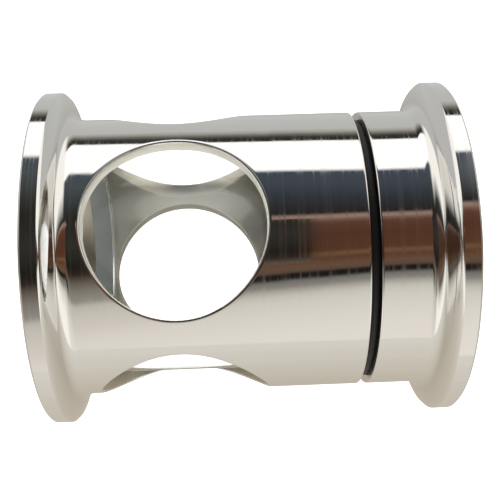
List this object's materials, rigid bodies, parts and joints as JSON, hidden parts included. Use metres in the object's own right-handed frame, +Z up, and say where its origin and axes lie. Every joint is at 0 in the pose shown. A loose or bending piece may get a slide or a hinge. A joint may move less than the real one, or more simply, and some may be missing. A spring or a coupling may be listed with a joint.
{
  "type": "sight glass",
  "caption": "In-line sight glass for sanitary pipe: clamp ferrule at each end, a windowed metal cage and a glass flow tube held by a screw-in end.",
  "frame": {"origin": "centre of the inlet ferrule's clamp face, on the flow axis", "axes": "+X along the flow axis from the inlet face to the outlet face, +Z up through the middle of one window, +Y through the next window"},
  "size_m": [0.0593, 0.0504, 0.0506],
  "materials": {
    "polished_steel": "mirror polished stainless steel with fine turning lines",
    "glass": "clear borosilicate, ground ends",
    "gasket": "grey silicone rubber",
    "seal_rubber": "matt black rubber"
  },
  "bodies": {
    "cage": {"cage_body": "polished_steel", "inlet_gasket": "gasket", "glass_tube": "glass"},
    "travel": {"outlet_gasket": "gasket"},
    "screwed_end": {"end_ferrule": "polished_steel", "joint_seal": "seal_rubber"}
  },
  "joints": [
    {"name": "end_travel", "type": "slide", "parent": "cage", "child": "travel", "axis": [1, 0, 0], "range_m": [0, 0.006]},
    {"name": "end_turn", "type": "hinge", "parent": "travel", "child": "screwed_end", "pos_m": [0.04698, 0, 0], "axis": [1, 0, 0], "range_deg": [0, 1445]}
  ],
  "couplings": [
    {"joint": "end_turn", "follows": "end_travel", "rad_per_m": 4188.8}
  ]
}
